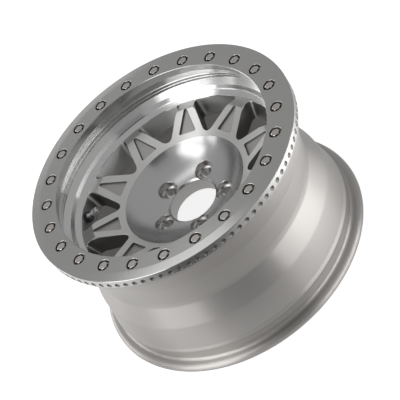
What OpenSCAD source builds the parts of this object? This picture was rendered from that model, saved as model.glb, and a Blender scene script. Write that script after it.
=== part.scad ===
// Forged beadlock wheel, 17 in. The axis is +Z, pointing outboard.
// The origin is the centre of the hub mounting face.

/* [Rim] */
// Radius of the rear bead seat
bead_seat_r = 218.3; // [214:0.1:222]
// Height of the rear flange above its bead seat
rim_flange_h = 17; // [15:0.5:19]
// Distance from the hub face back to the rear edge
back_spacing = 115; // [105:1:125]
// Thickness of the barrel wall
barrel_wall = 6; // [5:0.5:8]
// Radius of the drop centre
well_r = 198.3; // [196:0.1:201]
// Radius of the shoulder between the drop centre and the front flange
shoulder_r = 208.5; // [206:0.1:211]

/* [Front flange] */
// Height of the ring's seat above the hub face
seat_z = 118.4; // [112:0.1:124]
// Outer radius of the front flange
seat_flange_r = 228.5; // [226:0.1:231]
// Thickness of the front flange at its edge
seat_flange_t = 7; // [5:0.5:9]
// How far the front flange's inner edge stands back from the ring's
lip_step = 3.8; // [1:0.1:6]
// Width of the register that centres the ring
register_w = 3.9; // [3:0.1:5]
// Height of the register above the seat
register_h = 2; // [1:0.5:3]

/* [Centre] */
// Radius of the hub bore
bore_r = 41; // [35:0.5:46]
// Width of the bevel at the bore's mouth
bore_bevel = 3; // [1:0.5:4]
// Thickness of the hub at its bore
hub_t = 26.4; // [22:0.2:30]
// Radius of the hub's mounting pad
pad_r = 76; // [72:0.5:80]
// Radius of the dish's rim
dish_r = 106; // [102:0.5:108]
// Height of the dish's rim above the hub face
dish_z = 55.3; // [50:0.1:58]
// Radius at which a spoke's face is highest
spoke_peak_r = 158.9; // [154:0.1:164]
// Height of a spoke's face at its peak
spoke_peak_z = 72.4; // [68:0.1:76]
// Radius of the ledge at the foot of the inner lip
ledge_r = 181.2; // [179:0.1:184]
// Height of the ledge above the hub face
ledge_z = 66.7; // [63:0.1:69]
// How far the windows' outer wall comes in towards the web's rear edge
wall_draft = 9.2; // [6:0.1:11]
// Height of the web's rear edge at the rim
web_back_z = 38.7; // [36:0.1:42]

/* [Spokes] */
// Number of spokes
spokes = 10; // [8:1:11]
// Half the width of a spoke at its peak
spoke_half_w = 17.1; // [15:0.1:19]
// Angle by which each side of a spoke spreads towards the hub
spoke_spread = 15.5; // [13:0.5:18]
// Radius of a window's inner end
window_in_r = 116; // [113:0.5:120]
// Corner radius of a window's outer corners
window_corner_r = 9; // [5:0.5:11]
// Radius of a pocket's inner side
pocket_in_r = 117; // [115:0.5:119]
// Radius of a pocket's outer tip
pocket_out_r = 157.5; // [152:0.5:160]
// Angle of a pocket's sides from the middle of its spoke
pocket_lean = 17.5; // [15:0.5:18]
// Radius of a pocket's outer tip corner
pocket_tip_r = 3.5; // [2:0.1:4.5]
// Radius of a pocket's two inner corners
pocket_corner_r = 2; // [1:0.1:3]
// Depth of a pocket
pocket_depth = 4; // [2:0.5:6]

/* [Lug holes] */
// Number of lug holes
lugs = 5; // [4:1:6]
// Turn of the first lug hole from the first window
lug_turn = 36; // [0:1:72]
// Diameter of the lug circle
lug_pcd = 114.3; // [112:0.1:118]
// Radius of a lug hole
lug_hole_r = 7.5; // [6.5:0.1:8]
// Radius of a lug nut's pocket
lug_pocket_r = 16; // [14:0.5:17]
// Height of the pocket's floor above the hub face
lug_pocket_z = 17; // [15:0.5:19]
// Outer radius of the conical lug seat
lug_seat_r = 13; // [11:0.5:13.5]

/* [Beadlock ring] */
// Outer radius of the ring
ring_out_r = 232; // [230:0.1:234]
// Width of the ring at its face
ring_width = 45.2; // [43:0.1:48]
// Thickness of the ring
ring_t = 18; // [16:0.5:20]
// Width of the ring's outer slope
ring_slope_w = 16; // [12:0.5:17]
// Drop of the outer slope at the ring's edge
ring_slope_drop = 1.4; // [1:0.2:4]
// Number of grip dimples round the edge
dimples = 96; // [72:1:96]
// Radius of a dimple's mouth
dimple_r = 4.6; // [3:0.1:4.8]
// Depth of a dimple
dimple_depth = 2; // [1:0.1:3]

/* [Ring bolts] */
// Number of ring bolts
ring_bolts = 24; // [20:1:24]
// Distance of the bolt circle from the ring's outer edge
bolt_inset = 28.5; // [27:0.1:30]
// Turn of the first ring bolt from the first window
bolt_turn = 4.6; // [0:0.1:15]
// Radius of a bolt's shank
bolt_r = 4; // [3:0.1:4.5]
// Width across the flats of a bolt's hexagon head
bolt_af = 13; // [12:0.5:14]
// Height of a bolt's head
bolt_head_h = 6; // [5:0.5:7]
// Length of a bolt under its head
bolt_len = 22; // [18:0.5:23]
// Radius of the counterbore round a bolt's head
bolt_recess_r = 10; // [9.4:0.1:10.4]
// Radius of a washer
washer_r = 8.8; // [8:0.1:9.2]
// Thickness of a washer
washer_t = 1.6; // [1:0.1:2]
// Radius of a thread insert
insert_r = 6; // [5.5:0.1:6.5]
// Length of a thread insert
insert_len = 13; // [11:0.5:14]

/* [Valve] */
// Height of the valve's axis on the window's outer wall
valve_z = 56; // [54:0.5:57]
// Tilt of the valve towards the front
valve_tilt = 25; // [20:1:28]
// Length of wall that the valve grips
valve_grip = 12; // [10:0.5:14]
// Radius of the valve's stem
stem_r = 3.95; // [3.5:0.05:4.2]
// Length of the stem inside the wheel
stem_len = 27.5; // [26:0.5:29]
// Radius of the rubber grommet round the stem
grommet_r = 9.3; // [8.5:0.1:9.6]
// Thickness of the grommet
grommet_t = 6; // [5:0.5:7]
// Width across the flats of the valve's nut
nut_af = 11; // [10:0.5:12]
// Height of the nut
nut_h = 4.5; // [3:0.5:5]
// Length of the valve cap
cap_len = 13; // [11:0.5:14]
// Radius of the valve cap
cap_r = 5.2; // [5:0.1:5.8]

/* [Hidden] */
$fn = 96;
// Names of the separate pieces
BOLT_NODES = [for (i = [1 : ring_bolts]) str("ring_bolt_", i < 10 ? "0" : "", i)];

// Clearances: a running fit, a sliding fit, and how far a cut runs past a face
running = 0.05;
slip = 0.15;
past = 1;
// Colours
alloy = [0.62, 0.61, 0.60];
ring_alloy = [0.58, 0.58, 0.59];
steel = [0.45, 0.43, 0.41];
rubber = [0.05, 0.05, 0.05];
chrome = [0.80, 0.81, 0.82];
brass = [0.72, 0.58, 0.30];

// Radius of the web's rear edge at the rim
web_back_r = ledge_r - wall_draft;
// Radii of the front side that go with the ring
ring_in_r = ring_out_r - ring_width;
ring_slope_r = ring_out_r - ring_slope_w;
bolt_circle_r = ring_out_r - bolt_inset;
lip_r = ring_in_r + lip_step;
register_r = lip_r + register_w;
// Heights on the front side
ring_face_z = seat_z + ring_t;
bolt_seat_z = ring_face_z - bolt_head_h - washer_t;
// Angle from one spoke to the next, and half of it, from a spoke to a window
spoke_pitch = 360 / spokes;
half_pitch = spoke_pitch / 2;

function unit(v) = v / norm(v);
// Points of an arc about c, from angle a0 to a1, in n steps
function arc(c, r, a0, a1, n) =
    [for (i = [0 : n]) let (a = a0 + (a1 - a0) * i / n) c + r * [cos(a), sin(a)]];
// Points of an arc of radius r that rounds the corner b between a and c
function corner(a, b, c, r) =
    let (u = unit(a - b), v = unit(c - b))
    let (half = acos(max(-1, min(1, u * v))) / 2)
    let (centre = b + unit(u + v) * (r / sin(half)))
    let (p = b + u * (r / tan(half)) - centre, q = b + v * (r / tan(half)) - centre)
    let (from = atan2(p[1], p[0]), side = sign(p[0] * q[1] - p[1] * q[0]))
    let (turn = 180 - 2 * half)
    arc(centre, r, from, from + side * turn, turn > 50 ? 4 : turn > 12 ? 2 : 1);
// Outline of points [x, y, corner radius], each corner rounded where its radius is above 0
function rounded(pts) =
    let (n = len(pts))
    [for (i = [0 : n - 1])
        let (a = pts[(i + n - 1) % n], b = pts[i], c = pts[(i + 1) % n])
        each (b[2] > 0
            ? corner([a[0], a[1]], [b[0], b[1]], [c[0], c[1]], b[2])
            : [[b[0], b[1]]])];

// Rear of the rim, from the hub face backwards
rear_z = -back_spacing;
rim_top_r = bead_seat_r + rim_flange_h;
flange_t = 12.7;
rim_face_z = rear_z + flange_t;
lip_curl_r = 8.8;
rest_land = 4;
hump_gap = 23.3;
hump_z = rim_face_z + hump_gap;
slope_gap = 76.6;
slope_z = rim_face_z + slope_gap;
slope_drop = 6.2;
slope_r = bead_seat_r - slope_drop;
// Middle of the barrel, from the ring's seat backwards
shoulder_gap = 49.6;
shoulder_z = seat_z - shoulder_gap;
well_gap = 96.4;
well_top_z = seat_z - well_gap;
well_len = 10;
well_low_z = well_top_z - well_len;
// Steps of the inner lip, outwards from its inner edge and down from the seat
step_1_out = 8.5;
step_1_down = 16.5;
step_2_out = 12.4;
step_2_down = 31.6;
// The concave band that leads from the lip to the ledge
band_out = 12.7;
band_up = 12.4;
band_foot_out = 8.6;
band_foot_up = 5.5;
band_foot_r = 7;

// Section of the wheel's barrel and centre, as one closed outline
wheel_outline = [
    // Hub pad and the rear of the web
    [bore_r, 0, 0],
    [pad_r, 0, 0],
    [pad_r + 1.5, 1.5, 0],
    [pad_r + 3, 9, 5],
    [dish_r + 4, web_back_z - 8, 18],
    [web_back_r, web_back_z, 0],
    // Inside of the barrel
    [web_back_r + 11, web_back_z - 9, 6],
    [well_r - barrel_wall, well_top_z, 8],
    [well_r - barrel_wall, well_low_z, 8],
    [slope_r - barrel_wall, slope_z, 25],
    [bead_seat_r - barrel_wall, hump_z, 10],
    [bead_seat_r - barrel_wall, rear_z + 9, 6],
    // Rear flange
    [rim_top_r - 7.2, rear_z, 3],
    [rim_top_r - 7.2 + rest_land, rear_z, 0],
    [rim_top_r, rear_z + 2.6, 2],
    [rim_top_r, rim_face_z, lip_curl_r],
    [bead_seat_r - 0.6, rim_face_z, 5.5],
    // Bead seat, hump and the outside of the barrel
    [bead_seat_r, hump_z - 6, 3],
    [bead_seat_r + 1.6, hump_z, 3],
    [bead_seat_r - 0.7, hump_z + 6, 5],
    [slope_r, slope_z, 25],
    [well_r, well_low_z, 14],
    [well_r, well_top_z, 14],
    [shoulder_r, shoulder_z, 12],
    // Front flange
    [seat_flange_r - 1, seat_z - seat_flange_t, 3],
    [seat_flange_r, seat_z - 1.2, 0],
    [seat_flange_r - 1.2, seat_z, 0],
    [register_r, seat_z, 0],
    [register_r, seat_z + register_h, 0],
    [lip_r, seat_z + register_h, 0],
    // Steps of the inner lip
    [lip_r + step_1_out, seat_z - step_1_down, 1],
    [lip_r + step_2_out, seat_z - step_2_down, 1],
    [ledge_r + band_out, ledge_z + band_up, 0.8],
    [ledge_r + band_foot_out, ledge_z + band_foot_up, band_foot_r],
    // Face of the web
    [ledge_r, ledge_z, 0],
    [spoke_peak_r, spoke_peak_z, 0],
    [dish_r, dish_z, 1.2],
    [bore_r, dish_z - (dish_r - bore_r) * 0.1, 0]
];

// The dish is a circular arc that lies level at the bore and ends at the rim
dish_run = dish_r - bore_r;
dish_rise = dish_z - hub_t;
dish_arc_r = (dish_run * dish_run + dish_rise * dish_rise) / (2 * dish_rise);

module dish_section() {
    intersection() {
        translate([bore_r, hub_t + dish_arc_r]) circle(r = dish_arc_r, $fn = 180);
        translate([bore_r - past, hub_t]) square([dish_run + past, dish_arc_r]);
    }
}

module wheel_section() {
    difference() {
        polygon(rounded(wheel_outline));
        dish_section();
    }
}

// Half the width of a spoke at a distance x from the axis, along the spoke
function spoke_side(x) = spoke_half_w + (spoke_peak_r - x) * tan(spoke_spread);
// A window is drawn with its middle on the x axis. Its side line passes through
// side_foot and leans by side_lean from the middle
side_lean = half_pitch + spoke_spread;
side_foot_r = norm([spoke_peak_r, spoke_half_w]);
side_foot_a = half_pitch - atan2(spoke_half_w, spoke_peak_r);
side_foot = side_foot_r * [cos(side_foot_a), sin(side_foot_a)];
// Where the side line meets the middle, and its distance from the axis
side_start = side_foot[0] - side_foot[1] / tan(side_lean);
side_dist = -side_start * sin(side_lean);
// The inner end is an arc that touches both side lines
tip_limit = 3;
tip_spread = sin(side_lean);
window_tip_r = max(tip_limit, (window_in_r - side_start) * tip_spread / (1 - tip_spread));
window_tip = [side_start + window_tip_r / tip_spread, 0];
// An outer corner is an arc that touches a side line and the outer wall
corner_d = side_dist - window_corner_r;
corner_run = sqrt(pow(ledge_r - window_corner_r, 2) - corner_d * corner_d);
window_corner = corner_d * [-sin(side_lean), cos(side_lean)]
    + corner_run * [cos(side_lean), sin(side_lean)];
corner_a = atan2(window_corner[1], window_corner[0]);

module window_section() {
    out = ledge_r * 1.15 * [cos(corner_a), sin(corner_a)];
    half = concat(
        arc(window_corner, window_corner_r, corner_a, side_lean + 90, 5),
        arc(window_tip, window_tip_r, side_lean + 90, 180, 4));
    other = [for (i = [len(half) - 2 : -1 : 0]) [half[i][0], -half[i][1]]];
    polygon(concat([out], half, other, [[out[0], -out[1]]]));
}

// The windows' outer wall slopes in from the ledge to the web's rear edge
wall_step = 0.4;
wall_lean = (ledge_r - web_back_r) / (ledge_z - web_back_z);
wall_slope = atan(wall_lean);
function wall_r(z) = web_back_r - wall_step + (z - web_back_z) * wall_lean;
cut_low_z = web_back_z - 25;
cut_high_z = spoke_peak_z + 15;

module window_cut() {
    intersection() {
        translate([0, 0, cut_low_z])
            linear_extrude(height = cut_high_z - cut_low_z) window_section();
        cylinder_from_to(cut_low_z - past, cut_high_z + past);
    }
}

// The solid inside the windows' outer wall, from height low to high
module cylinder_from_to(low, high) {
    translate([0, 0, low]) cylinder(r1 = wall_r(low), r2 = wall_r(high), h = high - low, $fn = 180);
}

// Height of the spoke's face at a radius, between the dish's rim and the peak
face_rise = (spoke_peak_z - dish_z) / (spoke_peak_r - dish_r);
function face_z(r) = dish_z + (r - dish_r) * face_rise;

// A pocket's sides would meet at the apex if its tip weren't rounded
pocket_apex = pocket_out_r + pocket_tip_r * (1 / sin(pocket_lean) - 1);
pocket_half_w = (pocket_apex - pocket_in_r) * tan(pocket_lean);

module pocket_section() {
    polygon(rounded([
        [pocket_in_r, -pocket_half_w, pocket_corner_r],
        [pocket_apex, 0, pocket_tip_r],
        [pocket_in_r, pocket_half_w, pocket_corner_r]]));
}

module pocket_cut() {
    intersection() {
        translate([0, 0, dish_z - pocket_depth - past])
            linear_extrude(height = spoke_peak_z - dish_z + 2 * pocket_depth) pocket_section();
        rotate_extrude($fn = 180) polygon([
            [dish_r, face_z(dish_r) - pocket_depth],
            [spoke_peak_r, face_z(spoke_peak_r) - pocket_depth],
            [spoke_peak_r, cut_high_z], [dish_r, cut_high_z]]);
    }
}

module lug_cut() {
    seat_drop = (lug_seat_r - lug_hole_r) / tan(30);
    translate([lug_pcd / 2, 0, 0]) {
        translate([0, 0, -past]) cylinder(r = lug_hole_r, h = hub_t + 2 * past);
        translate([0, 0, lug_pocket_z - seat_drop])
            cylinder(r1 = lug_hole_r, r2 = lug_seat_r, h = seat_drop);
        translate([0, 0, lug_pocket_z]) cylinder(r = lug_pocket_r, h = dish_z);
    }
}

// Copies round the wheel's axis, the first one turned by start
module around(count, start = 0) {
    for (i = [0 : count - 1]) rotate([0, 0, start + 360 * i / count]) children();
}

// The valve stands on the outer wall of the third window, on a flat seat
valve_a = 2 * spoke_pitch;
valve_wall_r = wall_r(valve_z);
valve_flat = 0.3 + grommet_r * tan(abs(valve_tilt - wall_slope));
module at_valve() {
    rotate([0, 0, valve_a]) translate([valve_wall_r, 0, valve_z])
        rotate([0, valve_tilt - 90, 0]) translate([0, 0, -valve_flat]) children();
}
// Stations along the valve, from its flat seat towards the hub
valve_base_t = 3;
valve_seal_t = 2.5;
valve_base_r = 8.2;
valve_recess_r = 9.2;
valve_recess_len = 40;
collar_t = 1.4;
nut_z = grommet_t + collar_t;
core_seat_z = 8;
cap_top_t = 1.5;
cap_seal_t = 1;
cap_z = stem_len + cap_seal_t + cap_top_t - cap_len;

module valve_cut() {
    at_valve() {
        translate([0, 0, -valve_grip - past]) cylinder(r = stem_r + slip, h = valve_grip + 2 * past);
        cylinder(r = grommet_r + slip, h = 2 * valve_flat + 2);
        translate([0, 0, -valve_grip - valve_recess_len]) cylinder(r = valve_recess_r, h = valve_recess_len);
    }
}

module wheel_body() {
    color(alloy) difference() {
        rotate_extrude($fn = 180) wheel_section();
        translate([0, 0, -past]) cylinder(r = bore_r, h = hub_t + 2 * past, $fn = 180);
        translate([0, 0, hub_t - bore_bevel])
            cylinder(r1 = bore_r, r2 = bore_r + bore_bevel + past, h = bore_bevel + past, $fn = 180);
        around(spokes) window_cut();
        around(spokes, half_pitch) pocket_cut();
        around(lugs, lug_turn) lug_cut();
        around(ring_bolts, bolt_turn) translate([bolt_circle_r, 0, seat_z - insert_len])
            cylinder(r = insert_r, h = insert_len + past);
        valve_cut();
    }
}

// Section of the beadlock ring, with a recess that fits over the register
ring_edge_z = ring_face_z - ring_slope_drop;
ring_outline = [
    [ring_in_r + 0.8, ring_face_z, 0],
    [ring_slope_r, ring_face_z, 0],
    [ring_out_r - 0.6, ring_edge_z, 0],
    [ring_out_r, ring_edge_z - 0.8, 0],
    [ring_out_r - 0.5, seat_z + 1, 0],
    [ring_out_r - 1.5, seat_z, 0],
    [register_r + slip, seat_z, 0],
    [register_r + slip, seat_z + register_h, 0],
    [lip_r, seat_z + register_h, 0],
    [ring_in_r, ring_face_z - 0.8, 0]
];
dimple_drop = 11.8;
dimple_z = ring_face_z - dimple_drop;
// A dimple narrows from its mouth to a flat floor
dimple_floor_r = dimple_r * 0.55;

module beadlock_ring() {
    color(ring_alloy) difference() {
        rotate_extrude($fn = 180) polygon(rounded(ring_outline));
        around(ring_bolts, bolt_turn) translate([bolt_circle_r, 0, 0]) {
            translate([0, 0, seat_z - past]) cylinder(r = bolt_r + slip, h = ring_t + 2 * past);
            translate([0, 0, bolt_seat_z]) cylinder(r = bolt_recess_r, h = ring_t);
        }
        around(dimples, 180 / dimples)
            translate([ring_out_r - dimple_depth, 0, dimple_z]) rotate([0, 90, 0])
                cylinder(r1 = dimple_floor_r, r2 = 2 * dimple_r - dimple_floor_r, h = 2 * dimple_depth);
    }
}

module thread_inserts() {
    color(steel) around(ring_bolts, bolt_turn)
        translate([bolt_circle_r, 0, seat_z - insert_len]) difference() {
            cylinder(r = insert_r, h = insert_len);
            translate([0, 0, -past]) cylinder(r = bolt_r + running, h = insert_len + 2 * past);
        }
}

module ring_washers() {
    color(steel) around(ring_bolts, bolt_turn)
        translate([bolt_circle_r, 0, bolt_seat_z]) difference() {
            cylinder(r = washer_r, h = washer_t);
            translate([0, 0, -past]) cylinder(r = bolt_r + slip, h = washer_t + 2 * past);
        }
}

// A hexagon bolt with its underside at height 0, its head rounded off to a cone at the top
module hex_bolt() {
    corner_r = bolt_af / sqrt(3);
    top_r = 0.46 * bolt_af;
    cone_h = (corner_r - top_r + past) * tan(30);
    translate([0, 0, -bolt_len]) cylinder(r = bolt_r, h = bolt_len + past);
    intersection() {
        cylinder(r = corner_r, h = bolt_head_h, $fn = 6);
        rotate_extrude($fn = 64) polygon([
            [0, -past], [corner_r + past, -past], [corner_r + past, bolt_head_h - cone_h],
            [top_r, bolt_head_h], [0, bolt_head_h]]);
    }
}

// Each bolt's head stands at another angle, as it was tightened
head_turn = 37;
module ring_bolt(i) {
    color(steel) rotate([0, 0, bolt_turn + 360 * (i - 1) / ring_bolts])
        translate([bolt_circle_r, 0, bolt_seat_z + washer_t])
            rotate([0, 0, head_turn * i]) hex_bolt();
}

// A ring standing on height z, round the valve's axis
module valve_ring(outer_r, inner_r, z, h) {
    translate([0, 0, z]) difference() {
        cylinder(r = outer_r, h = h);
        translate([0, 0, -past]) cylinder(r = inner_r, h = h + 2 * past);
    }
}

core_bore_r = 2.7;
air_r = 1.5;
core_low_z = core_seat_z + 4;
core_len = stem_len - 1 - core_low_z;
pin_r = 0.6;
pin_head_r = 1.1;
pin_head_t = 0.8;
pin_travel = 1.3;
core_spring_wire = 0.22;
core_spring_turns = 5;

module valve_stem() {
    base_z = -valve_grip - valve_seal_t - valve_base_t;
    color(chrome) at_valve() difference() {
        union() {
            translate([0, 0, base_z]) cylinder(r = valve_base_r, h = valve_base_t);
            translate([0, 0, base_z]) cylinder(r = stem_r, h = stem_len - base_z);
        }
        translate([0, 0, base_z - past]) cylinder(r = air_r, h = stem_len - base_z);
        translate([0, 0, core_seat_z]) cylinder(r = core_bore_r, h = stem_len);
    }
}

module valve_seal() {
    color(rubber) at_valve()
        valve_ring(valve_base_r, stem_r + running, -valve_grip - valve_seal_t, valve_seal_t);
}

module valve_grommet() {
    color(rubber) at_valve() rotate_extrude() polygon(rounded([
        [stem_r + running, 0, 0], [grommet_r, 0, 0], [grommet_r, grommet_t, 1],
        [stem_r + running, grommet_t, 0]]));
}

module valve_washer() {
    color(chrome) at_valve() valve_ring(nut_af / 2 + 1.4, stem_r + running, grommet_t, collar_t);
}

module valve_nut() {
    color(steel) at_valve() translate([0, 0, nut_z]) difference() {
        cylinder(r = nut_af / sqrt(3), h = nut_h, $fn = 6);
        translate([0, 0, -past]) cylinder(r = stem_r + running, h = nut_h + 2 * past);
    }
}

module valve_core_body() {
    color(brass) at_valve() translate([0, 0, core_low_z]) difference() {
        cylinder(r = core_bore_r - running, h = core_len);
        translate([0, 0, -past]) cylinder(r = pin_r + 0.1, h = core_len + 2 * past);
        translate([0, 0, core_len / 2]) cylinder(r = pin_head_r + 0.2, h = core_len);
    }
}

module valve_core_pin() {
    color(brass) at_valve() {
        translate([0, 0, core_low_z - 3]) cylinder(r = pin_r, h = core_len + 3, $fn = 32);
        translate([0, 0, core_low_z + core_len - pin_head_t])
            cylinder(r = pin_head_r, h = pin_head_t, $fn = 32);
    }
}

module valve_core_seal() {
    color(rubber) at_valve() valve_ring(core_bore_r - 0.4, pin_r, core_low_z - 2, 2);
}

// Points of one ring of the spring's wire, at a turn of t degrees
function wire_ring(t, coil_r, rise) =
    [for (k = [0 : 3]) let (a = 90 * k, r = coil_r + core_spring_wire * cos(a))
        [r * cos(t), r * sin(t), rise * t / 360 + core_spring_wire * sin(a)]];

module valve_core_spring() {
    coil_r = pin_head_r - core_spring_wire / 2;
    steps = core_spring_turns * 10;
    low = core_low_z + core_len / 2 + core_spring_wire;
    high = core_low_z + core_len - pin_head_t - core_spring_wire;
    rise = (high - low) / core_spring_turns;
    points = [for (i = [0 : steps]) each wire_ring(i * 36, coil_r, rise)];
    sides = [for (i = [0 : steps - 1], k = [0 : 3])
        let (a = 4 * i + k, b = 4 * i + (k + 1) % 4) each [[a, a + 4, b + 4], [a, b + 4, b]]];
    last = 4 * steps;
    ends = [[0, 1, 2], [0, 2, 3], [last, last + 2, last + 1], [last, last + 3, last + 2]];
    color(steel) at_valve() translate([0, 0, low])
        polyhedron(points = points, faces = concat(sides, ends));
}

module valve_cap() {
    color(chrome) at_valve() translate([0, 0, cap_z]) difference() {
        rotate_extrude($fn = 64) polygon(rounded([
            [0, 0, 0], [cap_r - 0.4, 0, 0], [cap_r, 0.4, 0], [cap_r, cap_len, 1.6], [0, cap_len, 0]]));
        translate([0, 0, -past]) cylinder(r = stem_r + running, h = cap_len - cap_top_t + past);
        around(18) translate([cap_r + 0.25, 0, 2]) cylinder(r = 0.5, h = cap_len - 5, $fn = 24);
    }
}

module valve_cap_seal() {
    color(rubber) at_valve() translate([0, 0, stem_len])
        cylinder(r = stem_r - running, h = cap_seal_t);
}

wheel_body();
beadlock_ring();
thread_inserts();
ring_washers();
valve_stem();
valve_seal();
valve_grommet();
valve_washer();
valve_nut();
valve_core_body();
valve_core_pin();
valve_core_seal();
valve_core_spring();
valve_cap();
valve_cap_seal();
for (i = [1 : ring_bolts]) ring_bolt(i);
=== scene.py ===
import math

import bmesh
import bpy
from bpy.props import FloatProperty, FloatVectorProperty, IntProperty, PointerProperty
from mathutils import Matrix, Vector


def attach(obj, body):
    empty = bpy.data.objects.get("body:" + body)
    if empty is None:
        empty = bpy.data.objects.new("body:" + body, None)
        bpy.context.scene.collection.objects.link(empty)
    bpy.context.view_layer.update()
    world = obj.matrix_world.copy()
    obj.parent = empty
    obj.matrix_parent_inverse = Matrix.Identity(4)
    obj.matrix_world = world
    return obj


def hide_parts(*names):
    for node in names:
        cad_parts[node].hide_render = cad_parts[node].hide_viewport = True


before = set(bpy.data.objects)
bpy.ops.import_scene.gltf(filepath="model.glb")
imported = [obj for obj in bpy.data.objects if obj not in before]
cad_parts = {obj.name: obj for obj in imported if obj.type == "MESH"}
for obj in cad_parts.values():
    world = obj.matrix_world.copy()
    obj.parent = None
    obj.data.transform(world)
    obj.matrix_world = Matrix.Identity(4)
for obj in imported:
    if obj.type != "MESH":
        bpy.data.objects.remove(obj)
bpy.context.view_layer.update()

bl_info = {
    "name": "Beadlock Wheel",
    "version": (1, 0, 0),
    "blender": (4, 5, 0),
    "location": "View3D > Sidebar > Wheel",
    "description": "Dresses a forged beadlock wheel and its valve",
    "category": "Object",
}

MM = 0.001
# Steps of a full turn of a section
STEPS = 288
# The angle from which an edge is sharp
SHARP = math.radians(28)
# Finishes of the wheel, in the order of its material slots
SLOTS = ("barrel", "lip", "face", "dish", "wall", "pocket", "inside", "seat")
BARREL, LIP, FACE, DISH, WALL, POCKET, INSIDE, SEAT = range(len(SLOTS))
# How far the windows' outer wall stays inside the web's outer end
WALL_CLEAR = 0.4 * MM
# Corners of the fine lines turned into the lip, in mm out from its inner edge and down from the ring's seat
LIP_LINES = ((8.9, 16.5), (8.1, 17.1), (10.9, 24.5), (10.2, 25.0), (12.6, 31.3), (11.8, 32.1))
# The camera's place, and its axes to the right, up and back
CAMERA_PLACE = Vector((-1.8372, -0.4474, 1.6323))
RIGHT = Vector((-0.2132, -0.8544, -0.4746))
UP = Vector((0.6385, -0.4890, 0.5933))
BACK = Vector((-0.7395, -0.1760, 0.6502))
CAMERA_SIDE = math.atan2(CAMERA_PLACE.y, CAMERA_PLACE.x)


def length(mm, name, description):
    """A size property, given in millimetres."""
    return FloatProperty(name=name, description=description, default=mm * MM, unit="LENGTH", precision=5)


def angle(degrees, name, description):
    """An angle property, given in degrees."""
    return FloatProperty(name=name, description=description, default=math.radians(degrees), unit="ROTATION")


def colour(rgb, name, description):
    """A colour property, in linear values."""
    return FloatVectorProperty(name=name, description=description, default=rgb, subtype="COLOR", size=3,
                               min=0, max=1)


class WheelRimSizes(bpy.types.PropertyGroup):
    """Sizes of the barrel, the flanges and the inner lip."""
    bead_seat_r: length(218.3, "Bead seat", "Radius of the rear bead seat")
    flange_h: length(17, "Flange height", "Height of the rear flange above its seat")
    flange_depth: length(12.7, "Flange depth", "Distance of the rear flange's face from the rear edge")
    hump: length(23.3, "Hump", "Distance of the hump from the rear flange's face")
    slope: length(76.6, "Slope", "Distance of the slope's foot from the rear flange's face")
    slope_drop: length(6.2, "Slope drop", "Drop of the slope's foot below the bead seat")
    back_spacing: length(115, "Back spacing", "Distance from the hub face to the rear edge")
    wall: length(6, "Barrel wall", "Thickness of the barrel")
    well_r: length(198.3, "Drop centre", "Radius of the drop centre")
    well_low: length(106.4, "Well's rear", "Distance of the drop centre's rear end from the ring's seat")
    well_top: length(96.4, "Well's front", "Distance of the drop centre's front end from the ring's seat")
    shoulder_r: length(208.5, "Shoulder", "Radius of the shoulder in front of the drop centre")
    shoulder: length(49.6, "Shoulder's place", "Distance of the shoulder from the ring's seat")
    seat_z: length(118.4, "Ring seat", "Height of the ring's seat")
    seat_flange_r: length(228.5, "Front flange", "Outer radius of the front flange")
    register_r: length(194.5, "Register", "Radius of the lip that centres the ring")
    lip_r: length(190.6, "Lip", "Inner radius of the front flange")


class WheelWebSizes(bpy.types.PropertyGroup):
    """Sizes of the spokes, the windows, the pockets and the dish."""
    spokes: IntProperty(name="Spokes", description="Number of spokes", default=10, min=3)
    bore_r: length(41, "Bore", "Radius of the hub bore")
    bore_bevel: length(3, "Bore bevel", "Width of the bevel at the bore's mouth")
    hub_t: length(26.4, "Hub", "Thickness of the hub at its bore")
    pad_r: length(76, "Pad", "Radius of the hub's mounting pad")
    dish_r: length(106, "Dish radius", "Radius of the dish's rim")
    dish_z: length(55.3, "Dish rim", "Height of the dish's rim")
    peak_r: length(158.9, "Spoke peak radius", "Radius of the crease across a spoke")
    peak_z: length(72.4, "Spoke peak", "Height of the crease across a spoke")
    ledge_r: length(181.2, "Ledge radius", "Radius of the ledge inside the lip")
    ledge_z: length(66.7, "Ledge", "Height of the ledge inside the lip")
    back_r: length(172, "Rear edge radius", "Radius of the web's rear edge")
    back_z: length(38.7, "Rear edge", "Height of the web's rear edge")
    spoke_half_w: length(17.1, "Spoke half width", "Half of a spoke's width at its crease")
    spread: angle(15.5, "Spoke spread", "Angle by which a spoke's side spreads towards the hub")
    window_in_r: length(116, "Window inner end", "Radius of a window's inner end")
    window_corner_r: length(9, "Window corner", "Radius of a window's outer corners")
    pocket_in_r: length(117, "Pocket inner side", "Radius of a pocket's inner side")
    pocket_out_r: length(157.5, "Pocket tip", "Radius of a pocket's outer tip")
    pocket_lean: angle(17.5, "Pocket lean", "Angle of a pocket's sides from its middle")
    pocket_tip_r: length(3.5, "Pocket tip corner", "Radius of a pocket's outer tip corner")
    pocket_corner_r: length(2, "Pocket corner", "Radius of a pocket's two inner corners")
    pocket_depth: length(4, "Pocket depth", "Depth of a pocket")
    edge: length(0.45, "Edge", "Width of the bevel along a machined edge")
    lugs: IntProperty(name="Lug holes", description="Number of lug holes", default=5, min=3)
    lug_turn: angle(36, "Lug turn", "Turn of the first lug hole from the first window")
    lug_pcd: length(114.3, "Lug circle", "Diameter of the lug circle")
    lug_hole_r: length(7.5, "Lug hole", "Radius of a lug hole")
    lug_pocket_r: length(16, "Lug pocket", "Radius of a lug nut's pocket")
    lug_pocket_z: length(17, "Lug pocket floor", "Height of a lug pocket's floor")
    lug_seat_r: length(13, "Lug seat", "Outer radius of a lug's conical seat")


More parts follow.
